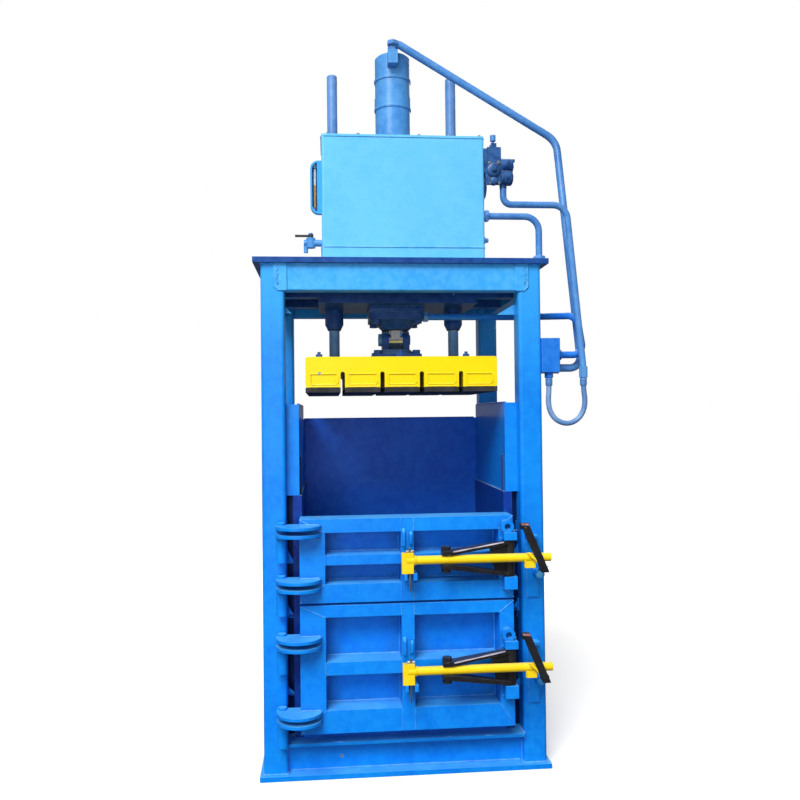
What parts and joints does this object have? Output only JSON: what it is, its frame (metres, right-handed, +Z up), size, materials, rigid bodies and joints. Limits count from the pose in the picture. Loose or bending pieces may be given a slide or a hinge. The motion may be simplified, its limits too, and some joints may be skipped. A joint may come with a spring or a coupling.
{
  "type": "recycling baler",
  "caption": "Upright hydraulic baler: post frame, open-topped chamber with two swing doors and bar latches, slotted platen on a cylinder, oil tank and pipework on the roof.",
  "frame": {"origin": "centre of the base plate's underside, on the floor", "axes": "+X to the operator's right seen from the doors, +Y away from the doors, +Z up"},
  "size_m": [1.395, 1.173, 3.1134],
  "materials": {
    "frame_blue": "gloss paint",
    "chamber_blue": "gloss paint",
    "tank_blue": "gloss paint",
    "ram_blue": "satin paint",
    "pipe_blue": "gloss paint",
    "platen_yellow": "gloss paint",
    "bar_yellow": "gloss paint",
    "latch_black": "satin paint",
    "pad_black": "worn paint",
    "bright_steel": "ground",
    "dark_steel": "oiled",
    "cast_grey": "cast",
    "hose_rubber": "smooth",
    "cap_black": "moulded"
  },
  "bodies": {
    "frame": {"base_plate": "frame_blue", "front_left_post": "frame_blue", "front_right_post": "frame_blue", "rear_left_post": "frame_blue", "rear_right_post": "frame_blue", "front_sill": "frame_blue", "base_channels": "frame_blue", "side_rails": "frame_blue", "roof_plate": "frame_blue", "front_top_beam": "frame_blue", "top_channels": "frame_blue", "hinge_pins": "frame_blue", "latch_keepers": "frame_blue", "side_manifold": "frame_blue", "level_gauge": "frame_blue", "chamber_floor": "chamber_blue", "back_wall": "chamber_blue", "left_lower_wall": "chamber_blue", "right_lower_wall": "chamber_blue", "left_upper_panel": "chamber_blue", "right_upper_panel": "chamber_blue", "tank": "tank_blue", "tank_lid": "tank_blue", "cylinder_cradle": "ram_blue", "guide_sleeves": "ram_blue", "cylinder_gland": "ram_blue", "cylinder_barrel": "ram_blue", "cylinder_cap": "ram_blue", "cap_pipe": "pipe_blue", "rod_pipe": "pipe_blue", "valve_pipes": "pipe_blue", "pump_pipes": "pipe_blue", "motor": "pipe_blue", "valve_body": "pipe_blue", "frame_bolts": "dark_steel", "drain_tap": "dark_steel", "pump": "cast_grey", "hose_loop": "hose_rubber", "filler_cap": "cap_black"},
    "ram": {"platen": "platen_yellow", "platen_pads": "pad_black", "guide_rods": "ram_blue", "rod_foot": "ram_blue", "rod_pin": "bright_steel", "piston_rod": "bright_steel", "piston": "bright_steel", "platen_bolts": "ram_blue"},
    "upper_door_leaf": {"upper_door": "frame_blue"},
    "lower_door_leaf": {"lower_door": "frame_blue"},
    "upper_latch_yoke": {"upper_yoke": "latch_black"},
    "lower_latch_yoke": {"lower_yoke": "latch_black"},
    "upper_latch_bar": {"upper_bar": "bar_yellow", "upper_hook": "latch_black"},
    "lower_latch_bar": {"lower_bar": "bar_yellow", "lower_hook": "latch_black"},
    "upper_pin": {"upper_safety_pin": "bright_steel"},
    "lower_pin": {"lower_safety_pin": "bright_steel"},
    "valve_handle": {"valve_lever": "cap_black"},
    "tap_handle": {"drain_handle": "cap_black"},
    "rotor": {"motor_rotor": "dark_steel"}
  },
  "joints": [
    {"name": "ram_slide", "type": "slide", "parent": "frame", "child": "ram", "axis": [0, 0, -1], "range_m": [0, 0.9]},
    {"name": "upper_door_swing", "type": "hinge", "parent": "frame", "child": "upper_door_leaf", "pos_m": [-0.4975, -0.529, 0.9], "axis": [0, 0, -1], "range_deg": [0, 108]},
    {"name": "upper_yoke_swing", "type": "hinge", "parent": "upper_door_leaf", "child": "upper_latch_yoke", "pos_m": [0.408, -0.587, 0.882], "axis": [0, 0, 1], "range_deg": [0, 100]},
    {"name": "upper_bar_turn", "type": "hinge", "parent": "upper_latch_yoke", "child": "upper_latch_bar", "pos_m": [0.146, -0.627, 0.882], "axis": [0, 0, 1], "range_deg": [-55, 0]},
    {"name": "upper_pin_lift", "type": "slide", "parent": "upper_latch_bar", "child": "upper_pin", "axis": [0, 0, 1], "range_m": [0, 0.07]},
    {"name": "lower_door_swing", "type": "hinge", "parent": "frame", "child": "lower_door_leaf", "pos_m": [-0.4975, -0.529, 0.45], "axis": [0, 0, -1], "range_deg": [0, 108]},
    {"name": "lower_yoke_swing", "type": "hinge", "parent": "lower_door_leaf", "child": "lower_latch_yoke", "pos_m": [0.408, -0.587, 0.452], "axis": [0, 0, 1], "range_deg": [0, 100]},
    {"name": "lower_bar_turn", "type": "hinge", "parent": "lower_latch_yoke", "child": "lower_latch_bar", "pos_m": [0.146, -0.627, 0.452], "axis": [0, 0, 1], "range_deg": [-55, 0]},
    {"name": "lower_pin_lift", "type": "slide", "parent": "lower_latch_bar", "child": "lower_pin", "axis": [0, 0, 1], "range_m": [0, 0.07]},
    {"name": "valve_lever_rock", "type": "hinge", "parent": "frame", "child": "valve_handle", "pos_m": [0.392, -0.445, 2.574], "axis": [0, 1, 0], "range_deg": [-15, 15]},
    {"name": "drain_tap_turn", "type": "hinge", "parent": "frame", "child": "tap_handle", "pos_m": [-0.372, -0.44, 2.19], "axis": [0, 0, 1], "range_deg": [0, 90]},
    {"name": "motor_spin", "type": "hinge", "parent": "frame", "child": "rotor", "pos_m": [0.1, 0.18, 2.215], "axis": [1, 0, 0], "continuous": true}
  ],
  "couplings": [
    {"joint": "upper_bar_turn", "follows": "upper_yoke_swing", "ratio": -0.55},
    {"joint": "lower_bar_turn", "follows": "lower_yoke_swing", "ratio": -0.55}
  ]
}
